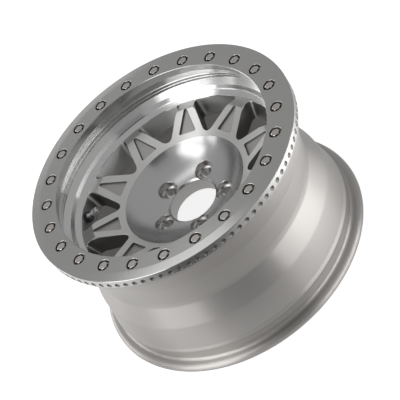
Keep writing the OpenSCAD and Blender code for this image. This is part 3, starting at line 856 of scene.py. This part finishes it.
class WHEEL_OT_studio(bpy.types.Operator):
    """Makes the floor, the lights and the camera"""
    bl_idname = "wheel.studio"
    bl_label = "Studio"

    def execute(self, context):
        studio = sizes("wheel_studio")
        self.camera(context, studio)
        self.floor(studio)
        self.sky(context, studio)
        # A lamp's turn, rise, width and height are in degrees, and then comes its strength
        self.lamp("left_box", -66, 22, 40, 42, 2.0)
        self.lamp("right_box", 54, 8, 62, 22, 2.9)
        self.lamp("rear_box", -148, 10, 72, 26, 1.7)
        self.lamp("high_box", -80, 58, 36, 18, 2.2)
        self.lamp("far_box", -164, 60, 20, 11, 1.3)
        self.lamp("side_box", -101, 27, 16, 12, 1.8)
        # A card has its turn in degrees, its distance and width in metres, its strength and its layer
        self.card("front_card", -22, 0.97, 1.1, 0.0, 2)
        self.card("rear_card", 178, 1.2, 1.3, 0.0, 2)
        self.card("left_card", -92, 0.85, 0.95, 1.1, 1)
        self.card("right_card", 69, 0.78, 0.70, 3.0, 1)
        self.flag("camera_flag", 2, 47, 1.1)
        return {"FINISHED"}

    def camera(self, context, studio):
        data = bpy.data.cameras.new("camera")
        data.sensor_width = 36
        data.lens = studio.lens
        data.clip_start = 0.05
        data.clip_end = 100
        data.shift_y = studio.shift
        camera = bpy.data.objects.new("camera", data)
        turn = Matrix((RIGHT, UP, BACK)).transposed().to_4x4()
        camera.matrix_world = Matrix.Translation(CAMERA_PLACE) @ turn
        context.scene.collection.objects.link(camera)
        context.scene.camera = camera

    def floor(self, studio):
        rim = sizes("wheel_rim")
        bm = bmesh.new()
        bmesh.ops.create_grid(bm, x_segments=1, y_segments=1, size=15)
        bmesh.ops.translate(bm, vec=(0, 0, -rim.back_spacing - 0.2 * MM), verts=bm.verts[:])
        pale = Finish("floor_paint", studio.floor, 0.9, metallic=0.0)
        path = pale.node("ShaderNodeLightPath").socket.node
        seen, mirrored, passed = (Value(pale, path.outputs[name]) for name in (
            "Is Camera Ray", "Is Glossy Ray", "Is Transmission Ray"))
        strength = (seen + passed + mirrored * 0.5) * studio.glow
        white = pale.node("ShaderNodeEmission", None, (1, 1, 1, 1), strength)
        both = pale.node("ShaderNodeAddShader", None, Value(pale, pale.surface.outputs[0]), white)
        pale.feed(pale.tree.nodes["Material Output"].inputs["Surface"], both)
        floor = new_piece("floor", bm, [pale.material])

    def sky(self, context, studio):
        world = bpy.data.worlds.new("sky")
        world.use_nodes = True
        world.node_tree.nodes["Background"].inputs["Color"].default_value = (1, 1, 1, 1)
        world.node_tree.nodes["Background"].inputs["Strength"].default_value = studio.sky
        context.scene.world = world

    def lamp(self, name, turn, rise, width, height, strength, distance=2.6):
        """A soft box. Its place and its size are angles as the wheel sees them, in degrees. A strength of 1
        looks white."""
        data = bpy.data.lights.new(name, "AREA")
        data.shape = "RECTANGLE"
        data.size = 2 * distance * math.tan(math.radians(width / 2))
        data.size_y = 2 * distance * math.tan(math.radians(height / 2))
        data.energy = strength * data.size * data.size_y * math.pi
        lamp = bpy.data.objects.new(name, data)
        lamp.matrix_world = facing(around(turn, rise) * distance)
        lamp.visible_camera = False
        bpy.context.scene.collection.objects.link(lamp)

    def card(self, name, turn, distance, width, strength, layer):
        """A card on the floor that only shows in the metal, dark or glowing white. Its layer is its height in
        millimetres, which keeps cards apart where they cross."""
        rim = sizes("wheel_rim")
        bm = bmesh.new()
        bmesh.ops.create_grid(bm, x_segments=1, y_segments=1, size=width / 2)
        facing_camera = Matrix.Rotation(CAMERA_SIDE + math.radians(turn), 3, "Z")
        bmesh.ops.rotate(bm, matrix=facing_camera, verts=bm.verts[:])
        bmesh.ops.translate(bm, vec=around(turn, 0) * distance, verts=bm.verts[:])
        bmesh.ops.translate(bm, vec=(0, 0, -rim.back_spacing + layer * MM), verts=bm.verts[:])
        self.mirrored_only(name, bm, strength)

    def flag(self, name, turn, rise, width, distance=2.4):
        """A dark cloth above the wheel that only shows in the metal."""
        bm = bmesh.new()
        bmesh.ops.create_grid(bm, x_segments=1, y_segments=1, size=width / 2)
        bmesh.ops.transform(bm, matrix=facing(around(turn, rise) * distance), verts=bm.verts[:])
        self.mirrored_only(name, bm, 0.0)

    def mirrored_only(self, name, bm, strength):
        """A dark cloth that only the metal mirrors, glowing with a strength."""
        cloth = Finish(name + "_cloth", (0.03, 0.03, 0.03), 0.9, metallic=0.0, Emission_Color=(1, 1, 1, 1),
                       Emission_Strength=strength)
        card = new_piece(name, bm, [cloth.material])
        card.visible_camera = False
        card.visible_diffuse = False
        card.visible_shadow = False
        card.visible_transmission = False


class WHEEL_PT_panel(bpy.types.Panel):
    """The wheel's pieces and sizes"""
    bl_label = "Beadlock Wheel"
    bl_idname = "WHEEL_PT_panel"
    bl_space_type = "VIEW_3D"
    bl_region_type = "UI"
    bl_category = "Wheel"

    def draw(self, context):
        layout = self.layout
        for operator in OPERATORS:
            layout.operator(operator.bl_idname)
        for group in GROUPS:
            box = layout.box()
            box.label(text=group)
            for name in GROUPS[group].__annotations__:
                box.prop(getattr(context.scene, group), name)


GROUPS = {
    "wheel_rim": WheelRimSizes,
    "wheel_web": WheelWebSizes,
    "wheel_ring": WheelRingSizes,
    "wheel_finishes": WheelFinishes,
    "wheel_studio": WheelStudio,
}
OPERATORS = (WHEEL_OT_body, WHEEL_OT_ring, WHEEL_OT_fasteners, WHEEL_OT_valve, WHEEL_OT_studio)
CLASSES = (*GROUPS.values(), *OPERATORS, WHEEL_PT_panel)


def register():
    for cls in CLASSES:
        bpy.utils.register_class(cls)
    for name, cls in GROUPS.items():
        setattr(bpy.types.Scene, name, PointerProperty(type=cls))


def unregister():
    for name in GROUPS:
        delattr(bpy.types.Scene, name)
    for cls in reversed(CLASSES):
        bpy.utils.unregister_class(cls)


def main():
    register()
    scene = bpy.context.scene
    scene.view_settings.view_transform = "Standard"
    scene["wheel_materials"] = {name: made.name for name, made in make_finishes().items()}
    bpy.ops.wheel.body()
    bpy.ops.wheel.ring()
    bpy.ops.wheel.fasteners()
    bpy.ops.wheel.valve()
    bpy.ops.wheel.studio()


if __name__ == "__main__":
    main()
